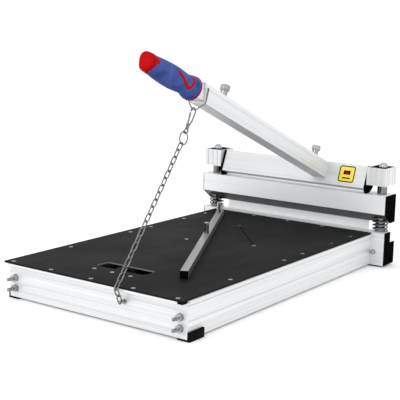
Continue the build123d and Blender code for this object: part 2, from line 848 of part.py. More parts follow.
def revolve_grip(extra):
    """Solid of the grip's outline, thicker by extra."""
    section = Plane(origin=lever_foot, x_dir=lever_up, z_dir=(1, 0, 0))
    outline = [(radius + extra, along) for along, radius in grip_profile]
    with BuildPart() as body:
        with BuildSketch(section):
            with BuildLine():
                Spline(*outline)
                Polyline(outline[-1], (0, outline[-1][1]), (0, outline[0][1]), outline[0])
            make_face()
        revolve(axis=Axis(lever_foot, lever_dir))
    return body


def make_grip():
    with BuildPart() as grip:
        add(revolve_grip(0.0).part)
        with BuildSketch(lever_section(grip_start)):
            RectangleRounded(inner_width - 2 * clear_gap, inner_height - 2 * clear_gap, 1.2)
        extrude(amount=core_start - grip_start, mode=Mode.SUBTRACT)
        with BuildSketch(lever_section(core_start)):
            Circle(core_radius)
        extrude(amount=grip_end - core_start, mode=Mode.SUBTRACT)
    return grip


def make_grip_collar_ring():
    with BuildPart() as ring:
        with BuildSketch(lever_section(ring_start)):
            Circle(21.2)
            RectangleRounded(inner_width - 2 * clear_gap, inner_height - 2 * clear_gap, 1.2,
                             mode=Mode.SUBTRACT)
        extrude(amount=grip_start - ring_start)
        chamfer(ring.edges().filter_by(GeomType.CIRCLE).sort_by(SortBy.RADIUS)[-2:], length=0.8)
    return ring


def make_grip_end_cap():
    with BuildPart() as cap:
        with BuildSketch(lever_section(grip_end)):
            Circle(16.6)
        extrude(amount=cap_end - grip_end, taper=9.0)
        fillet(cap.faces().sort_by(Axis.Y)[0].edges(), radius=5.0)
    return cap


def make_grip_inlay():
    """Thin V of softer rubber that follows the grip on its right-hand side."""
    side = Plane(origin=lever_foot, x_dir=lever_dir, z_dir=(1, 0, 0))
    corners = [(564.0, 5.0), (535.0, -8.0), (521.0, -9.0), (516.0, 11.0)]
    with BuildPart() as inlay:
        add(revolve_grip(0.5).part)
        add(revolve_grip(0.0).part, mode=Mode.SUBTRACT)
        with BuildSketch(side):
            with BuildLine():
                Polyline(*corners)
            trace(line_width=4.6)
        extrude(amount=40.0, mode=Mode.INTERSECT)
    return inlay


# ---------------------------------------------------------------- bail, chain and hook
def make_chain_bail():
    arm = tube_width / 2 + bail_wire / 2 + clear_gap
    pin = tube_width / 2 - tube_wall + 0.4
    bend = (front_y + 197.8, 345.0)
    half = [(pin, bail_pivot_y, bail_pivot_z), (arm, bail_pivot_y, bail_pivot_z),
            (arm, *bend), (4.0, bail_bar_y, bail_bar_z)]
    right = [Vector(lever_x + x, y, z) for x, y, z in half]
    left = [Vector(lever_x - x, y, z) for x, y, z in reversed(half)]
    with BuildPart() as bail:
        with BuildLine():
            path = FilletPolyline(*right, *left, radius=(1.6, 4.0, 3.0, 3.0, 4.0, 1.6))
        with BuildSketch(Plane(origin=path @ 0, z_dir=path % 0)):
            Circle(bail_wire / 2)
        sweep()
    return bail


def make_chain_eye():
    """Screw eye in the front rail, with its ring level."""
    tail = Vector(lip_spot[0] - eye_spot[0], lip_spot[1] - eye_spot[1]).normalized()
    front_wire_y = eye_spot[0] + tail.X * chain_wire / 2
    ring_z = eye_spot[1] + tail.Y * chain_wire / 2
    with BuildPart() as eye:
        with BuildSketch(Plane.XZ.offset(-rail_front)):
            with Locations((chain_x, eye_spot[1])):
                Circle(eye_shank_radius)
        extrude(amount=-web_thick - 2.0)
        with BuildSketch(Plane.XZ.offset(-rail_front)):
            with Locations((chain_x, eye_spot[1])):
                Circle(4.0)
        extrude(amount=2.4)
        with Locations((chain_x, front_wire_y + eye_ring_radius, ring_z)):
            Torus(eye_ring_radius, chain_wire / 2)
    return eye


def make_chain_ring():
    with BuildPart() as ring:
        with BuildLine(Plane.YZ.offset(chain_x)):
            loop = CenterArc(ring_centre, ring_radius, 0, 360)
        with BuildSketch(Plane(origin=loop @ 0, z_dir=loop % 0)):
            Circle(ring_wire / 2)
        sweep()
    return ring


hook_axis = Vector(0, bail_bar_y - hook_eye_centre[0], bail_bar_z - hook_eye_centre[1])
hook_plane = Plane(origin=Vector(chain_x, *hook_eye_centre), x_dir=hook_axis, z_dir=(1, 0, 0))
hook_reach = hook_axis.length   # from the small eye's centre to the bail's bar
crown_radius = 6.0
hook_top = hook_reach + bail_wire / 2 + hook_wire / 2 + clear_gap - crown_radius


def make_snap_hook():
    """Wire hook: a small eye, a waist, one long leg and a crown over the bail."""
    eye_plane = Plane(origin=hook_plane.origin, x_dir=hook_plane.x_dir, z_dir=hook_plane.y_dir)
    crest = hook_top + crown_radius
    outline = [(8.0, -1.4), (21.0, -crown_radius), (crest, -crown_radius),
               (crest, crown_radius), (hook_top - 3.0, crown_radius)]
    points = [hook_plane.from_local_coords((along, side, 0)) for along, side in outline]
    with BuildPart() as hook:
        with BuildLine():
            path = FilletPolyline(*points, radius=(9.0, crown_radius - 0.1, crown_radius - 0.1))
        with BuildSketch(Plane(origin=path @ 0, z_dir=path % 0)):
            Circle(hook_wire / 2)
        sweep()
        add(wire_link(eye_plane, 10.6, 10.2, hook_wire).part)
        with BuildSketch(Plane(origin=hook_plane.from_local_coords((4.4, 0, 0)),
                               x_dir=(1, 0, 0), z_dir=hook_plane.x_dir)):
            RectangleRounded(4.2, 5.4, radius=1.2)
        extrude(amount=6.0)
    return hook


def make_hook_gate():
    """Sprung bar that closes the hook's mouth."""
    foot = (10.4 + clear_gap + gate_wire / 2, 2.2)
    tip = (hook_top - 3.0 - clear_gap - gate_wire / 2, crown_radius)
    with BuildPart() as gate:
        with BuildLine(hook_plane):
            bar = Line(foot, tip)
        with BuildSketch(Plane(origin=bar @ 0, z_dir=bar % 0)):
            Circle(gate_wire / 2)
        sweep()
        fillet(gate.edges().filter_by(GeomType.CIRCLE), radius=gate_wire / 2 - 0.3)
        barrel = bar @ 0
        with BuildSketch(Plane.YZ.offset(chain_x)):
            with Locations((barrel.Y, barrel.Z)):
                Circle(gate_wire / 2)
        extrude(amount=gate_wire / 2 + 0.3, both=True)
    return gate


# ---------------------------------------------------------------- fence
fence_plane = Plane(origin=(*fence_pivot, table_top + clear_gap),
                    x_dir=(sin(radians(fence_angle)), -cos(radians(fence_angle)), 0),
                    z_dir=(0, 0, 1))


def make_fence_bar():
    end_plane = Plane(origin=fence_plane.from_local_coords((-fence_behind, 0, fence_height / 2)),
                      x_dir=fence_plane.y_dir, z_dir=fence_plane.x_dir)
    with BuildPart() as bar:
        with BuildSketch(end_plane):
            RectangleRounded(fence_width, fence_height, radius=0.8)
            Rectangle(fence_width - 2 * fence_wall, fence_height - 2 * fence_wall,
                      mode=Mode.SUBTRACT)
        extrude(amount=fence_ahead + fence_behind)
        with BuildSketch(fence_plane):
            Circle(fence_post_radius + running_gap)
            with Locations((fence_lock_distance, 0)):
                Circle(fence_lock_radius + running_gap)
        extrude(amount=fence_height, mode=Mode.SUBTRACT)
    return bar


def make_fence_end_plugs():
    with BuildPart() as plugs:
        for end, way in ((-fence_behind, -1), (fence_ahead, 1)):
            middle = fence_plane.from_local_coords((end, 0, fence_height / 2))
            with BuildSketch(Plane(origin=middle, x_dir=fence_plane.y_dir,
                                   z_dir=fence_plane.x_dir * way)):
                RectangleRounded(fence_width, fence_height, radius=0.8)
            extrude(amount=1.5)
            with BuildSketch(Plane(origin=middle, x_dir=fence_plane.y_dir,
                                   z_dir=fence_plane.x_dir * way)):
                Rectangle(fence_width - 2 * fence_wall, fence_height - 2 * fence_wall)
            extrude(amount=-8.0)
    return plugs


def make_fence_lock_screw():
    """Clamping screw with a tall plain head, through both walls of the bar."""
    spot = fence_plane.from_local_coords((fence_lock_distance, 0, 0))
    top = spot.Z + fence_height + clear_gap
    with BuildPart() as screw:
        with BuildSketch(Plane.XY.offset(table_top + clear_gap)):
            with Locations((spot.X, spot.Y)):
                Circle(fence_lock_radius)
        extrude(amount=top - table_top - clear_gap)
        with BuildSketch(Plane.XY.offset(top)):
            with Locations((spot.X, spot.Y)):
                Circle(4.5)
        extrude(amount=fence_pin_height)
        chamfer(screw.faces().sort_by(Axis.Z)[-1].edges(), length=0.8)
    return screw


def make_fence_pivot_post():
    with BuildPart() as post:
        with BuildSketch(Plane.XY.offset(table_top)):
            with Locations(fence_pivot):
                Circle(fence_post_radius)
        extrude(amount=clear_gap + fence_height + fence_pin_height + 1.5)
        chamfer(post.faces().sort_by(Axis.Z)[-1].edges(), length=0.8)
    return post


# ---------------------------------------------------------------- all the pieces
pieces = {
    "table_plate": make_table_plate(),
    "plate_screws": make_plate_screws(),
    "corner_plugs": make_corner_plugs(),
    "front_rail": make_front_rail(),
    "front_rail_bolts": make_front_rail_bolts(),
    "front_cross_member": make_cross_member(60.5, 22.0),
    "middle_cross_member": make_cross_member(352.5, 81.0),
    "rear_cross_member": make_cross_member(505.5, 32.0),
    "lower_beam": make_lower_beam(),
    "anvil_strip": make_anvil_strip(),
    "beam_mount_bolts": make_beam_mount_bolts(),
    "cap_block_covers": make_cap_block_covers(),
    "cap_bolts": make_cap_bolts(),
    "blade_beam": make_blade_beam(),
    "blade": make_blade(),
    "blade_screws": make_blade_screws(),
    "cam_bar": make_cam_bar(),
    "pivot_pins": make_pivot_pins(),
    "lever_tube": make_lever_tube(),
    "lever_stub": make_lever_stub(),
    "socket_knob": make_knob(knob_places[0]),
    "extension_knob": make_knob(knob_places[1]),
    "label_plate": make_label_plate(),
    "extension_tube": make_extension_tube(),
    "grip": make_grip(),
    "grip_collar_ring": make_grip_collar_ring(),
    "grip_end_cap": make_grip_end_cap(),
    "grip_inlay": make_grip_inlay(),
    "chain_bail": make_chain_bail(),
    "chain_eye": make_chain_eye(),
    "chain_tail_links": link_row(eye_spot, lip_spot, tail_link_count, first_flat=False),
    "chain_links": link_row(chain_start, ring_end, chain_link_count, first_flat=False),
    "chain_ring": make_chain_ring(),
    "snap_hook": make_snap_hook(),
    "hook_gate": make_hook_gate(),
    "fence_bar": make_fence_bar(),
    "fence_end_plugs": make_fence_end_plugs(),
    "fence_lock_screw": make_fence_lock_screw(),
    "fence_pivot_post": make_fence_pivot_post(),
}
handed_pieces = {
    "rail": make_right_rail(),
    "lower_beam_cap": make_lower_beam_cap(),
    "blade_beam_cap": make_blade_beam_cap(),
    "front_foot": make_front_foot(),
    "rear_foot": make_rear_foot(),
    "post": make_post(),
    "spring": make_spring(),
    "guide_bush": make_guide_bush(),
    "cap_block": make_cap_block(),
    "cam_plate": make_cam_plate(),
}
for name, right_piece in handed_pieces.items():
    pieces["right_" + name] = right_piece
    pieces["left_" + name] = twin_of(right_piece)

os.makedirs("parts", exist_ok=True)
for name, piece in pieces.items():
    piece.part.label = name
    export_step(piece.part, f"parts/{name}.step")
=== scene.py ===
"""Guillotine flooring cutter: materials, grip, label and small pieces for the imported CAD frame."""
import math

import bpy
from mathutils import Matrix, Vector


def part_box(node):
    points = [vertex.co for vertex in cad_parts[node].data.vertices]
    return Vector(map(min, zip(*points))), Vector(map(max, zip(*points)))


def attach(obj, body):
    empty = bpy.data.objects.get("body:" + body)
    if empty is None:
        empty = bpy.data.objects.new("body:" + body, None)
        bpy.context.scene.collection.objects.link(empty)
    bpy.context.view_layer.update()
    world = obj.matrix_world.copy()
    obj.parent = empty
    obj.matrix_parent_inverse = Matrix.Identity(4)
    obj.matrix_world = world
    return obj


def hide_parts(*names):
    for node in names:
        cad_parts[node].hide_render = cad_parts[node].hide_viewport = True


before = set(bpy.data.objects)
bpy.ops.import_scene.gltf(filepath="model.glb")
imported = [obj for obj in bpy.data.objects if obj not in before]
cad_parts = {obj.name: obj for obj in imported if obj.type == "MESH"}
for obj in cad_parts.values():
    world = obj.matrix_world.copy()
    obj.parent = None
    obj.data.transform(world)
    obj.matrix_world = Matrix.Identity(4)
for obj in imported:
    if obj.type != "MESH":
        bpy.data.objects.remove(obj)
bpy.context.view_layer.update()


def middle_of(name):
    """Middle of a CAD node's box."""
    low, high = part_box(name)
    return (Vector(low) + Vector(high)) / 2


MM = 0.001
LEVER_ANGLE = math.radians(22.0)
LEVER_DIR = Vector((0, -math.cos(LEVER_ANGLE), math.sin(LEVER_ANGLE)))
LEVER_UP = Vector((0, math.sin(LEVER_ANGLE), math.cos(LEVER_ANGLE)))

# Camera: place in metres, turns in radians, lens and sensor in millimetres.
CAMERA_PLACE = (1.0289, -1.4802, 0.48446)
CAMERA_YAW = math.radians(35.31)
CAMERA_PITCH = math.radians(10.47)
CAMERA_ROLL = 0.024
CAMERA_LENS = 88.8
CAMERA_SENSOR = 36.0
CAMERA_CLIP_END = 50.0

# Floor and light, in metres and watts.
FLOOR_HALF = 6.0
WORLD_STRENGTH = 1.03
LIGHT_TARGET = (0, 0, 0.1)
AREA_LIGHTS = (("key", (-0.6, -2.8, 1.9), (2.5, 1.6), 30),
               ("fill", (2.6, -0.6, 1.6), (2.0, 2.0), 6),
               ("top", (0.2, 0.8, 3.0), (3.0, 2.0), 12))

# Part of a texture's factor that a ramp spans, heights of the surface grains in metres, and the soft
# edge of painted shade in metres.
RAMP_START, RAMP_END = 0.3, 0.7
BRUSH_HEIGHT = 0.00006
GRAIN_HEIGHT = 0.0002
SHADE_EDGE_BLUR = 0.0004

# Grip, in millimetres from the collar's inner end: (place along it, radius).
GRIP_OUTLINE = ((0.0, 20.6), (3.0, 20.9), (7.0, 20.2), (12.0, 18.6), (17.0, 17.7), (24.0, 17.4),
                (32.0, 17.9), (42.0, 18.8), (54.0, 19.5), (70.0, 19.3), (86.0, 18.6),
                (100.0, 17.4), (110.0, 16.4), (122.0, 15.3))
GRIP_LENGTH = 120.75
GRIP_STEP = 0.75
GRIP_COLUMNS = 120
COLLAR_HALF_WIDTH = 1.75
LOBE_TURN = math.radians(12.0)
LOBE_LEAST, LOBE_GROWTH, LOBE_START, LOBE_RUN = 0.012, 0.085, 20.0, 90.0
SEAM_ANGLE, SEAM_SPREAD, SEAM_DEPTH, SEAM_START = math.radians(38.0), 0.045, 0.5, 30
RIB_TURN = math.radians(20.0)
RIB_START, RIB_END, RIB_PITCH, RIB_DEPTH = 34.0, 104.0, 5.0, 0.35

# Grip's end cap: each ring's share of the way from rim to shoulder, its lift and its overhang.
CAP_RINGS = ((0.0, -0.6, 0.0), (0.0, 0.55, 0.0), (0.5, 0.75, 0.0), (0.85, 0.5, 0.0),
             (1.0, 0.0, 0.8), (1.0, -1.6, 2.0), (1.0, -4.0, 2.6), (1.0, -8.0, 2.2),
             (1.0, -12.0, 1.9))
CAP_RIM, CAP_SHOULDER, CAP_TIP = 120.0, 127.5, 5.5
CAP_OVERHANG = 0.75

# Grip's inlay: path as (along, up), section as (across, lift), in millimetres.
INLAY_PATH = ((67.0, 6.5), (50.0, 0.5), (34.0, -6.5), (25.0, -8.0), (21.0, -5.0), (18.5, 3.0),
              (16.0, 13.5))
INLAY_SECTION = ((-2.9, -0.5), (-2.6, 0.4), (-1.2, 0.7), (1.2, 0.7), (2.6, 0.4), (2.9, -0.5))
INLAY_ROUNDS = 2
INLAY_END_SHARE = 0.45
INLAY_STEEPEST = 0.95
INLAY_THICKNESS = 0.5

# Label, in millimetres: frame as (half width, half height, corner radius), bars as (middle
# height, half height, half width), patch as corners.
LABEL_FRAME_OUTER = (17.6, 17.0, 5.0)
LABEL_FRAME_INNER = (15.5, 14.9, 3.1)
LABEL_BARS = ((3.0, 4.2, 7.5), (-8.6, 1.3, 8.5))
LABEL_PATCH = ((-3.4, 0.2), (3.8, 0.2), (3.8, 5.0), (-3.4, 5.0))
PRINT_LIFT, PRINT_THICKNESS = 0.28, 0.06
PATCH_LIFT, PATCH_THICKNESS = 0.34, 0.1
CORNER_STEPS = 8

# Hand slot and mitre line, in millimetres from the plate's front edge.
SLOT_OUTLINE = (52.85, 16.85, 6.85)
SLOT_PLACE = 95.0
SLOT_EDGE_BOTTOM, SLOT_EDGE_TOP, SLOT_EDGE_THICKNESS = 0.1, 0.4, 0.1
MITRE_START, MITRE_END = (-47.6, 514.0), (73.7, 380.0)
MITRE_DEPTH, MITRE_HALF_WIDTH, MITRE_END_GAP, MITRE_THICKNESS = 0.44, 0.95, 5.5, 0.03

# Cap bolts, corner fillers and stud ends, in millimetres.
BOLT_COLLAR_RADIUS, BOLT_COLLAR_HEIGHT, BOLT_COLLAR_GAP = 9.0, 1.2, 0.05
BOLT_DOME_RADIUS, BOLT_TIP_RADIUS = 8.3, 0.4
BOLT_COLUMNS, BOLT_ROWS = 32, 9
CORNER_WIDTH = 9.7
STUD_RADIUS, STUD_REACH, STUD_INSIDE, STUD_TAPER = 3.0, 6.5, 1.0, 0.7
STUD_TIP_SHARE = 0.8
STUD_COLUMNS = 24
# Middles of the studs in the row frame, in metres.
STUD_SIDES, STUD_HEIGHTS = (-0.1765, 0.1765), (0.0375, 0.0195)

# Blade beam's chamfer in painted shade: its top in metres, its depth in millimetres from the beam's
# front.
SHADED_CHAMFER_TOP = 0.1076
SHADED_CHAMFER_DEPTH = 27.0
FENCE_TURN = math.radians(28.0)

grip_start = middle_of("grip_collar_ring") + LEVER_DIR * COLLAR_HALF_WIDTH * MM
label_middle = middle_of("label_plate")


# ---------------------------------------------------------------- camera, floor and light
def make_camera():
    """Camera at the front right of the cutter, a little above the lever's grip."""
    camera = bpy.data.objects.new("camera", bpy.data.cameras.new("camera"))
    camera.data.sensor_width = CAMERA_SENSOR
    camera.data.lens = CAMERA_LENS
    camera.data.clip_end = CAMERA_CLIP_END
    turn = Matrix.Rotation(CAMERA_YAW, 4, "Z")
    turn = turn @ Matrix.Rotation(math.pi / 2 - CAMERA_PITCH, 4, "X")
    turn = turn @ Matrix.Rotation(CAMERA_ROLL, 4, "Z")
    camera.matrix_world = Matrix.Translation(Vector(CAMERA_PLACE)) @ turn
    bpy.context.scene.collection.objects.link(camera)
    bpy.context.scene.camera = camera


def make_floor():
    """White ground under the feet, part of the stage."""
    mesh = bpy.data.meshes.new("floor")
    corners = [(-FLOOR_HALF, -FLOOR_HALF, 0), (FLOOR_HALF, -FLOOR_HALF, 0),
               (FLOOR_HALF, FLOOR_HALF, 0), (-FLOOR_HALF, FLOOR_HALF, 0)]
    mesh.from_pydata(corners, [], [(0, 1, 2, 3)])
    floor = bpy.data.objects.new("floor", mesh)
    bpy.context.scene.collection.objects.link(floor)
    material, shader = new_material("floor_paper")
    shader.inputs["Base Color"].default_value = (0.98, 0.98, 0.98, 1)
    shader.inputs["Roughness"].default_value = 0.9
    shader.inputs["Specular IOR Level"].default_value = 0.1
    mesh.materials.append(material)


def add_area_light(name, place, size, power):
    """Rectangular light that faces the cutter."""
    light = bpy.data.lights.new(name, "AREA")
    light.shape = "RECTANGLE"
    light.size, light.size_y = size
    light.energy = power
    holder = bpy.data.objects.new(name, light)
    holder.location = place
    aim = Vector(LIGHT_TARGET) - Vector(place)
    holder.rotation_euler = aim.to_track_quat("-Z", "Y").to_euler()
    bpy.context.scene.collection.objects.link(holder)


def make_light():
    """White world and three soft lights, with the photo's clean white kept by the view."""
    world = bpy.data.worlds.new("studio")
    world.use_nodes = True
    background = world.node_tree.nodes["Background"]
    background.inputs["Color"].default_value = (1, 1, 1, 1)
    background.inputs["Strength"].default_value = WORLD_STRENGTH
    bpy.context.scene.world = world
    bpy.context.scene.view_settings.view_transform = "Standard"
    for name, place, size, power in AREA_LIGHTS:
        add_area_light(name, place, size, power)


# ---------------------------------------------------------------- material helpers
def new_material(name):
    """New material and its shader."""
    material = bpy.data.materials.new(name)
    material.use_nodes = True
    return material, material.node_tree.nodes["Principled BSDF"]


def node(tree, kind, **inputs):
    """New shader node with its named input values set."""
    made = tree.nodes.new(kind)
    for key, value in inputs.items():
        made.inputs[key].default_value = value
    return made


def place_texture(tree, kind, stretch=(1, 1, 1), turn=(0, 0, 0), **inputs):
    """Texture in object space, stretched and turned."""
    place = tree.nodes.new("ShaderNodeTexCoord")
    mapping = tree.nodes.new("ShaderNodeMapping")
    mapping.vector_type = "TEXTURE"
    mapping.inputs["Rotation"].default_value = turn
    mapping.inputs["Scale"].default_value = stretch
    texture = node(tree, kind, **inputs)
    tree.links.new(place.outputs["Object"], mapping.inputs["Vector"])
    tree.links.new(mapping.outputs["Vector"], texture.inputs["Vector"])
    return texture


def ramp_colour(tree, factor, low, high, shader):
    """Base colour between low and high by a texture's factor."""
    ramp = tree.nodes.new("ShaderNodeValToRGB")
    ramp.color_ramp.elements[0].position = RAMP_START
    ramp.color_ramp.elements[1].position = RAMP_END
    ramp.color_ramp.elements[0].color = (*low, 1)
    ramp.color_ramp.elements[1].color = (*high, 1)
    tree.links.new(factor, ramp.inputs["Fac"])
    tree.links.new(ramp.outputs["Color"], shader.inputs["Base Color"])


def ramp_roughness(tree, factor, low, high, shader):
    """Roughness between low and high by a texture's factor."""
    spread = tree.nodes.new("ShaderNodeMapRange")
    spread.inputs["From Min"].default_value = RAMP_START
    spread.inputs["From Max"].default_value = RAMP_END
    spread.inputs["To Min"].default_value = low
    spread.inputs["To Max"].default_value = high
    tree.links.new(factor, spread.inputs["Value"])
    tree.links.new(spread.outputs["Result"], shader.inputs["Roughness"])


def add_bump(tree, height, distance, strength, shader):
    """Bump from a texture."""
    bump = node(tree, "ShaderNodeBump", Strength=strength, Distance=distance)
    tree.links.new(height, bump.inputs["Height"])
    tree.links.new(bump.outputs["Normal"], shader.inputs["Normal"])


# ---------------------------------------------------------------- materials
def brushed_metal(name, low, high, roughness, stretch, turn=(0, 0, 0), metallic=1.0):
    """Metal with fine draw lines along its longest stretch, and faint cloudy wear."""
    material, shader = new_material(name)
    tree = material.node_tree
    shader.inputs["Metallic"].default_value = metallic
    lines = place_texture(tree, "ShaderNodeTexNoise", stretch=stretch, turn=turn, Scale=1.0,
                          Detail=7.0)
    ramp_colour(tree, lines.outputs["Fac"], low, high, shader)
    clouds = place_texture(tree, "ShaderNodeTexNoise", Scale=14.0, Detail=4.0)
    ramp_roughness(tree, clouds.outputs["Fac"], roughness - 0.05, roughness + 0.06, shader)
    add_bump(tree, lines.outputs["Fac"], BRUSH_HEIGHT, 0.35, shader)
    return material


def polished_metal(name, low, high, roughness):
    """Plated metal with soft smudges."""
    material, shader = new_material(name)
    tree = material.node_tree
    shader.inputs["Metallic"].default_value = 1.0
    smudges = place_texture(tree, "ShaderNodeTexNoise", Scale=160.0, Detail=4.0)
    ramp_colour(tree, smudges.outputs["Fac"], low, high, shader)
    ramp_roughness(tree, smudges.outputs["Fac"], roughness - 0.04, roughness + 0.05, shader)
    return material


def moulded(name, low, high, roughness, grain, specular):
    """Plastic or rubber with a fine moulded grain, the grain's size in metres."""
    material, shader = new_material(name)
    tree = material.node_tree
    shader.inputs["Specular IOR Level"].default_value = specular
    shader.inputs["IOR"].default_value = 1.3
    clouds = place_texture(tree, "ShaderNodeTexNoise", Scale=45.0, Detail=4.0)
    ramp_colour(tree, clouds.outputs["Fac"], low, high, shader)
    ramp_roughness(tree, clouds.outputs["Fac"], roughness - 0.04, roughness + 0.05, shader)
    dots = place_texture(tree, "ShaderNodeTexNoise", Scale=1.0 / grain, Detail=2.0)
    add_bump(tree, dots.outputs["Fac"], GRAIN_HEIGHT, 0.35, shader)
    return material


def paint_shade_corner(material, height, depth, colour):
    """Painted shade: another colour below a height and before a depth, in object space."""
    tree = material.node_tree
    shader = tree.nodes["Principled BSDF"]
    metal = shader.inputs["Base Color"].links[0].from_socket
    place = tree.nodes.new("ShaderNodeTexCoord")
    split = tree.nodes.new("ShaderNodeSeparateXYZ")
    tree.links.new(place.outputs["Object"], split.inputs["Vector"])
    shade_mask = tree.nodes.new("ShaderNodeMath")
    shade_mask.operation = "MAXIMUM"
    for index, (axis, edge) in enumerate((("Z", height), ("Y", depth))):
        past = node(tree, "ShaderNodeMapRange")
        past.inputs["From Min"].default_value = edge - SHADE_EDGE_BLUR
        past.inputs["From Max"].default_value = edge + SHADE_EDGE_BLUR
        tree.links.new(split.outputs[axis], past.inputs["Value"])
        tree.links.new(past.outputs["Result"], shade_mask.inputs[index])
    mix = tree.nodes.new("ShaderNodeMixRGB")
    mix.inputs["Color1"].default_value = (*colour, 1)
    tree.links.new(shade_mask.outputs["Value"], mix.inputs["Fac"])
    tree.links.new(metal, mix.inputs["Color2"])
    tree.links.new(mix.outputs["Color"], shader.inputs["Base Color"])


def powder_coat():
    """Black textured coating of the table, with faint scuffs along the planks' way in."""
    material, shader = new_material("black_coat")
    tree = material.node_tree
    shader.inputs["Specular IOR Level"].default_value = 0.08
    scuffs = place_texture(tree, "ShaderNodeTexNoise", stretch=(0.012, 0.09, 0.012), Scale=1.0,
                           Detail=6.0)
    ramp_colour(tree, scuffs.outputs["Fac"], (0.006, 0.0061, 0.0064), (0.0105, 0.0107, 0.011),
                shader)
    clouds = place_texture(tree, "ShaderNodeTexNoise", Scale=9.0, Detail=5.0)
    ramp_roughness(tree, clouds.outputs["Fac"], 0.62, 0.75, shader)
    grit = place_texture(tree, "ShaderNodeTexVoronoi", Scale=900.0)
    add_bump(tree, grit.outputs["Distance"], GRAIN_HEIGHT, 0.4, shader)
    return material


def printed_film():
    """Glossy yellow film of the label."""
    material, shader = new_material("yellow_film")
    tree = material.node_tree
    shader.inputs["Coat Weight"].default_value = 0.4
    shader.inputs["Coat Roughness"].default_value = 0.15
    clouds = place_texture(tree, "ShaderNodeTexNoise", Scale=120.0, Detail=3.0)
    ramp_colour(tree, clouds.outputs["Fac"], (0.8, 0.6, 0.002), (0.86, 0.66, 0.003), shader)
    ramp_roughness(tree, clouds.outputs["Fac"], 0.32, 0.42, shader)
    return material


def give(material, *nodes):
    """Put one material on CAD nodes."""
    for name in nodes:
        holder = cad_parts[name]
        holder.data.materials.clear()
        holder.data.materials.append(material)


# ---------------------------------------------------------------- mesh helpers
def new_piece(name, points, faces, material, body, smooth=True, thickness=0.0):
    """Mesh piece in the row frame that rides on a CAD body, thickened inwards if asked."""
    mesh = bpy.data.meshes.new(name)
    mesh.from_pydata([tuple(point) for point in points], [], faces)
    mesh.update()
    for face in mesh.polygons:
        face.use_smooth = smooth
    mesh.materials.append(material)
    piece = bpy.data.objects.new(name, mesh)
    bpy.context.scene.collection.objects.link(piece)
    if thickness:
        solid = piece.modifiers.new("thickness", "SOLIDIFY")
        solid.thickness = thickness
        solid.offset = -1.0
    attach(piece, body)
    return piece


def grid_faces(rows, columns, closed):
    """Quads of a grid of points, row by row, closed around each row if asked."""
    faces = []
    last = columns if closed else columns - 1
    for row in range(rows - 1):
        for column in range(last):
            after = (column + 1) % columns
            faces.append((row * columns + column, row * columns + after,
                          (row + 1) * columns + after, (row + 1) * columns + column))
    return faces


def tube_faces(rings, columns, first=0):
    """Faces of a tube of rings with both ends capped, for points that start at first."""
    last = (rings - 1) * columns
    faces = grid_faces(rings, columns, True)
    faces.append(tuple(range(columns - 1, -1, -1)))
    faces.append(tuple(range(last, last + columns)))
    return [tuple(first + point for point in face) for face in faces]


def around(columns, start=0.0):
    """Angles of the points of one ring."""
    return [2 * math.pi * column / columns + start for column in range(columns)]


def rounded_outline(half_width, half_height, radius):
    """Outline of a rectangle with round corners, anticlockwise."""
    outline = []
    for quarter, (sx, sy) in enumerate(((1, 1), (-1, 1), (-1, -1), (1, -1))):
        for step in range(CORNER_STEPS + 1):
            angle = (quarter + step / CORNER_STEPS) * math.pi / 2
            outline.append((sx * (half_width - radius) + radius * math.cos(angle),
                            sy * (half_height - radius) + radius * math.sin(angle)))
    return outline


def smooth_path(path, times):
    """Path with its corners cut evenly, several times."""
    for _ in range(times):
        finer = [path[0]]
        for (ax, ay), (bx, by) in zip(path, path[1:]):
            finer.append((ax * 0.75 + bx * 0.25, ay * 0.75 + by * 0.25))
            finer.append((ax * 0.25 + bx * 0.75, ay * 0.25 + by * 0.75))
        path = finer + [path[-1]]
    return path


# ---------------------------------------------------------------- grip
def grip_radius(along):
    """Radius of the grip's body at a place along it, between the listed ones."""
    for (near, near_radius), (far, far_radius) in zip(GRIP_OUTLINE, GRIP_OUTLINE[1:]):
        if along <= far:
            share = max(0.0, along - near) / (far - near)
            share = share * share * (3 - 2 * share)
            return near_radius + (far_radius - near_radius) * share
    return GRIP_OUTLINE[-1][1]


def lobes(along):
    """How strongly the section is three-sided at a place along the grip."""
    return LOBE_LEAST + LOBE_GROWTH * min(1.0, max(0.0, (along - LOBE_START) / LOBE_RUN))


def grip_point(along, angle, lift=0.0):
    """Point of the grip's surface, in the row frame; the angle is from +X towards up."""
    radius = grip_radius(along) * (1 + lobes(along) * math.cos(3 * (angle - LOBE_TURN)))
    seam = 0.0
    if along > SEAM_START:
        seam = math.exp(-((angle - SEAM_ANGLE) / SEAM_SPREAD) ** 2)
    radius += lift - SEAM_DEPTH * seam
    out = Vector((math.cos(angle), 0, 0)) + LEVER_UP * math.sin(angle)
    return grip_start + LEVER_DIR * along * MM + out * radius * MM


def rib(along, angle):
    """Shallow cross ribs on the lower flank, where the fingers close."""
    below = max(0.0, -math.sin(angle - RIB_TURN))
    inside = 1.0 if RIB_START < along < RIB_END else 0.0
    wave = 0.5 - 0.5 * math.cos(2 * math.pi * along / RIB_PITCH)
    return -RIB_DEPTH * inside * below * wave


def make_grip_skin(material):
    """Blue body of the grip."""
    places = [index * GRIP_STEP for index in range(int(GRIP_LENGTH / GRIP_STEP) + 1)]
    points = [grip_point(along, angle, rib(along, angle))
              for along in places for angle in around(GRIP_COLUMNS, -math.pi)]
    faces = tube_faces(len(places), GRIP_COLUMNS)
    skin = new_piece("grip_skin", points, faces, material, "extension")
    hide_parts("grip")


def make_grip_cap(material):
    """Domed end with three tips that reach back along the grip's lobes."""
    points = []
    for share, lift, beyond in CAP_RINGS:
        for angle in around(GRIP_COLUMNS, -math.pi):
            tip = max(0.0, math.cos(3 * (angle - LOBE_TURN))) ** 2
            rim = CAP_RIM - CAP_TIP * tip
            along = rim + share * (CAP_SHOULDER - rim) + beyond * CAP_OVERHANG
            points.append(grip_point(along, angle, lift))
    faces = tube_faces(len(CAP_RINGS), GRIP_COLUMNS)
    cap = new_piece("grip_cap_skin", points, faces, material, "extension")
    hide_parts("grip_end_cap")


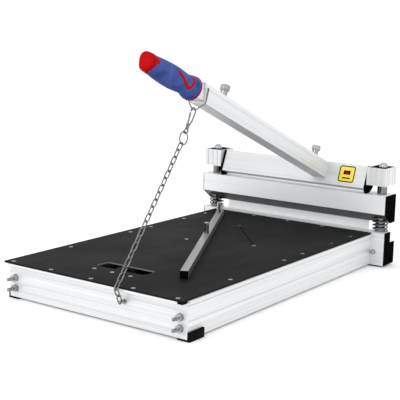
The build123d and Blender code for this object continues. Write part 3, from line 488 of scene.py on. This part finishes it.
def make_grip_inlay(material):
    """V of red rubber let into the right-hand side."""
    path = smooth_path(INLAY_PATH, INLAY_ROUNDS)
    points = []
    for index, (along, up) in enumerate(path):
        before, after = path[max(0, index - 1)], path[min(len(path) - 1, index + 1)]
        run = Vector((after[0] - before[0], after[1] - before[1])).normalized()
        narrow = INLAY_END_SHARE if index in (0, len(path) - 1) else 1.0
        for across, lift in INLAY_SECTION:
            place = along - run.y * across * narrow
            height = up + run.x * across * narrow
            steepness = height / grip_radius(place)
            angle = math.asin(max(-INLAY_STEEPEST, min(INLAY_STEEPEST, steepness)))
            points.append(grip_point(place, angle, lift))
    faces = grid_faces(len(path), len(INLAY_SECTION), False)
    inlay = new_piece("grip_inlay_skin", points, faces, material, "extension",
                      thickness=INLAY_THICKNESS * MM)
    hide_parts("grip_inlay")


# ---------------------------------------------------------------- label
def label_point(across, up, lift):
    """Point on the label, millimetres from its middle, lift towards the operator."""
    sideways = Vector((across * MM, 0, 0))
    return label_middle + sideways + LEVER_UP * up * MM + LEVER_DIR * lift * MM


def make_label_print(material, mark_material):
    """Dark frame, plain bars and a red patch on the yellow label."""
    outer = rounded_outline(*LABEL_FRAME_OUTER)
    inner = rounded_outline(*LABEL_FRAME_INNER)
    count = len(outer)
    points = [label_point(x, y, PRINT_LIFT) for x, y in outer + inner]
    faces = [(index, (index + 1) % count, count + (index + 1) % count, count + index)
             for index in range(count)]
    for middle_y, half_height, half_width in LABEL_BARS:
        first = len(points)
        for x, y in ((-1, -1), (1, -1), (1, 1), (-1, 1)):
            points.append(label_point(x * half_width, middle_y + y * half_height, PRINT_LIFT))
        faces.append((first, first + 1, first + 2, first + 3))
    print_piece = new_piece("label_print", points, faces, material, "lever", smooth=False,
                            thickness=PRINT_THICKNESS * MM)
    patch = [label_point(x, y, PATCH_LIFT) for x, y in LABEL_PATCH]
    mark = new_piece("label_mark", patch, [(0, 1, 2, 3)], mark_material, "lever", smooth=False,
                     thickness=PATCH_THICKNESS * MM)


# ---------------------------------------------------------------- table, bolts and corners
def make_slot_edge(material):
    """Bare cut edge of the plate around the hand slot."""
    plate_low, plate_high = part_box("table_plate")
    outline = rounded_outline(*SLOT_OUTLINE)
    centre = Vector((0.0, plate_low[1] + SLOT_PLACE * MM, 0.0))
    low, high = plate_low[2] + SLOT_EDGE_BOTTOM * MM, plate_high[2] - SLOT_EDGE_TOP * MM
    points = [centre + Vector((x * MM, y * MM, z)) for z in (low, high) for x, y in outline]
    faces = [face[::-1] for face in grid_faces(2, len(outline), True)]
    edge = new_piece("slot_edge", points, faces, material, "frame", smooth=False,
                     thickness=SLOT_EDGE_THICKNESS * MM)


def make_bolt_domes(material):
    """Domed heads of the two cap bolts, with a low collar under each."""
    low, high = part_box("cap_bolts")
    top, bottom = high[2], low[2]
    rise = top - bottom - BOLT_COLLAR_HEIGHT * MM
    middle_y = (low[1] + high[1]) / 2
    collar = BOLT_COLLAR_RADIUS * MM
    profile = [(collar, bottom + BOLT_COLLAR_GAP * MM), (collar, bottom + BOLT_COLLAR_HEIGHT * MM)]
    for row in range(BOLT_ROWS):
        turn = math.pi / 2 * row / BOLT_ROWS
        profile.append((BOLT_DOME_RADIUS * MM * math.cos(turn), top - rise * (1 - math.sin(turn))))
    profile.append((BOLT_TIP_RADIUS * MM, top))
    for name, middle_x in (("left_bolt_dome", low[0] + collar),
                           ("right_bolt_dome", high[0] - collar)):
        points = [(middle_x + radius * math.cos(angle), middle_y + radius * math.sin(angle), z)
                  for radius, z in profile for angle in around(BOLT_COLUMNS)]
        faces = tube_faces(len(profile), BOLT_COLUMNS)
        dome = new_piece(name, points, faces, material, "frame")
        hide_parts("cap_bolts")


def make_scribe_line(material):
    """Dark sheet in the floor of the mitre line cut into the table, as painted shade of the groove.
    """
    plate_low, plate_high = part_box("table_plate")
    start, end = (Vector((x * MM, plate_low[1] + y * MM, plate_high[2] - MITRE_DEPTH * MM))
                  for x, y in (MITRE_START, MITRE_END))
    run = (end - start).normalized()
    across = Vector((-run.y, run.x, 0)) * MITRE_HALF_WIDTH * MM
    start, end = start + run * MITRE_END_GAP * MM, end - run * MITRE_END_GAP * MM
    points = [start - across, end - across, end + across, start + across]
    line = new_piece("mitre_line_painted_shade", points, [(0, 1, 2, 3)], material, "frame", smooth=False,
                     thickness=MITRE_THICKNESS * MM)


def make_corners(dark, metal):
    """Black block as painted shade under the plate's right front corner, bright end of the lip on
    the left.
    """
    low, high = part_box("corner_plugs")
    width = CORNER_WIDTH * MM
    for name, left, right, material, slot in (
            ("right_corner_painted_shade", high[0] - width, high[0], dark, "black_plastic"),
            ("left_lip_end", low[0], low[0] + width, metal, "anodised")):
        points = [(x, y, z) for z in (low[2], high[2])
                  for x, y in ((left, low[1]), (right, low[1]), (right, high[1]), (left, high[1]))]
        corner = new_piece(name, points, tube_faces(2, 4), material, "frame", smooth=False)
        if name == "right_corner_painted_shade":
            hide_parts("corner_plugs")


def make_stud_ends(material):
    """Free ends of the four studs in front of their nuts."""
    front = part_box("front_rail_bolts")[0][1]
    radius, reach = STUD_RADIUS * MM, STUD_REACH * MM
    rings = ((front + STUD_INSIDE * MM, 1.0), (front - reach + STUD_TAPER * MM, 1.0),
             (front - reach, STUD_TIP_SHARE))
    points, faces = [], []
    for x in STUD_SIDES:
        for z in STUD_HEIGHTS:
            faces += tube_faces(len(rings), STUD_COLUMNS, len(points))
            points += [(x + radius * scale * math.cos(angle), y,
                        z + radius * scale * math.sin(angle))
                       for y, scale in rings for angle in around(STUD_COLUMNS)]
    ends = new_piece("stud_ends", points, faces, material, "frame", smooth=False)


# ---------------------------------------------------------------- the cutter's materials
bright, brighter = (0.66, 0.67, 0.68), (0.80, 0.81, 0.82)
# Painted light: the blade beam's base is lighter than the rails', to make up for its front
# reflecting the black table.
beam_painted_light = (0.78, 0.79, 0.80)
draw_x = (0.4, 0.002, 0.002)
draw_y = (0.002, 0.4, 0.002)
draw_z = (0.002, 0.002, 0.4)
along_x = brushed_metal("anodised_x", bright, brighter, 0.40, draw_x, metallic=0.4)
along_y = brushed_metal("anodised_y", bright, brighter, 0.40, draw_y, metallic=0.4)
along_lever = brushed_metal("anodised_lever", bright, brighter, 0.40, draw_y,
                            (-LEVER_ANGLE, 0, 0), metallic=0.4)
along_z = brushed_metal("anodised_z", bright, brighter, 0.40, draw_z, metallic=0.4)
bare_edge = brushed_metal("bare_edge", (0.15, 0.15, 0.155), (0.24, 0.24, 0.245), 0.5, draw_x,
                          metallic=0.0)
fence_metal = brushed_metal("fence_anodised", (0.26, 0.26, 0.27), (0.36, 0.36, 0.37), 0.4,
                            draw_y, (0, 0, FENCE_TURN))
blade_steel = brushed_metal("ground_steel", (0.86, 0.87, 0.88), (0.93, 0.94, 0.95), 0.35,
                            draw_x, metallic=0.15)
# Painted shade: the cam bar's base is darker than the rails', to make up for its upward face
# catching more light.
cam_painted_shade_metal = brushed_metal("cam_anodised_painted_shade", (0.56, 0.57, 0.58), (0.66, 0.67, 0.68), 0.45, draw_x,
                          metallic=0.4)
beam_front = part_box("blade_beam")[0][1]
beam_metal = brushed_metal("beam_anodised_painted_light_and_shade", beam_painted_light, brighter, 0.40, draw_x, metallic=0.2)
# Painted shade: the beam's downward chamfer gets a near-black colour, standing in for the shade it
# sits in over the black table.
paint_shade_corner(beam_metal, SHADED_CHAMFER_TOP, beam_front + SHADED_CHAMFER_DEPTH * MM, (0.035, 0.035, 0.037))
zinc = polished_metal("bright_zinc", (0.3, 0.31, 0.32), (0.46, 0.47, 0.48), 0.2)
dark_zinc = polished_metal("dark_zinc", (0.2, 0.2, 0.21), (0.36, 0.36, 0.37), 0.24)
knob_metal = polished_metal("turned_knob", (0.24, 0.24, 0.25), (0.4, 0.4, 0.41), 0.25)
# Painted reflection: the chrome of the posts, pins and chain has a dark base in place of the dark
# surroundings it would mirror.
chrome = polished_metal("chrome_plate", (0.13, 0.13, 0.135), (0.26, 0.26, 0.265), 0.12)
chain_metal = polished_metal("chain_chrome", (0.15, 0.15, 0.146), (0.26, 0.26, 0.255), 0.2)
spring_wire = polished_metal("spring_wire", (0.1, 0.1, 0.105), (0.2, 0.2, 0.205), 0.22)
# Black plastic of the caps and plugs, also used as painted shade for the mitre line and under the
# plate's corner.
black_plastic = moulded("black_plastic", (0.002, 0.002, 0.0022), (0.005, 0.005, 0.0054), 0.6,
                        0.0006, 0.0)
foot_rubber = moulded("foot_rubber", (0.004, 0.004, 0.0044), (0.009, 0.009, 0.0095), 0.75, 0.001,
                      0.06)
blue_rubber = moulded("blue_rubber", (0.026, 0.05, 0.19), (0.068, 0.108, 0.34), 0.6, 0.0007,
                      0.12)
red_rubber = moulded("red_rubber", (0.3, 0.0, 0.001), (0.45, 0.001, 0.002), 0.42, 0.0008, 0.12)

give(powder_coat(), "table_plate")
give(along_x, "front_rail", "front_cross_member", "middle_cross_member", "rear_cross_member",
     "lower_beam")
give(cam_painted_shade_metal, "cam_bar")
give(beam_metal, "blade_beam")
give(along_y, "left_rail", "right_rail")
give(along_z, "left_cap_block", "right_cap_block")
give(along_lever, "lever_tube", "lever_stub", "extension_tube")
give(blade_steel, "blade", "anvil_strip", "left_guide_bush", "right_guide_bush")
give(zinc, "front_rail_bolts", "plate_screws", "cap_bolts", "fence_pivot_post",
     "fence_lock_screw", "blade_screws", "beam_mount_bolts")
give(knob_metal, "socket_knob", "extension_knob")
give(dark_zinc, "chain_eye")
give(chrome, "left_post", "right_post", "pivot_pins")
give(chain_metal, "chain_bail", "chain_links", "chain_tail_links", "chain_ring", "snap_hook",
     "hook_gate")
give(spring_wire, "left_spring", "right_spring")
# corner_plugs is black as painted shade under the plate's corners; it is hidden and replaced below.
give(black_plastic, "left_lower_beam_cap", "right_lower_beam_cap", "left_blade_beam_cap",
     "right_blade_beam_cap", "cap_block_covers", "left_cam_plate", "right_cam_plate",
     "fence_end_plugs", "corner_plugs")
give(foot_rubber, "left_front_foot", "right_front_foot", "left_rear_foot", "right_rear_foot")
give(fence_metal, "fence_bar")
give(blue_rubber, "grip")
give(red_rubber, "grip_collar_ring", "grip_end_cap", "grip_inlay")
give(printed_film(), "label_plate")

# ---------------------------------------------------------------- pieces, then the stage
make_grip_skin(blue_rubber)
make_grip_cap(red_rubber)
make_grip_inlay(red_rubber)
make_label_print(black_plastic, red_rubber)
make_slot_edge(bare_edge)
make_bolt_domes(zinc)
make_scribe_line(black_plastic)
make_corners(black_plastic, along_x)
make_stud_ends(dark_zinc)

make_camera()
make_floor()
make_light()
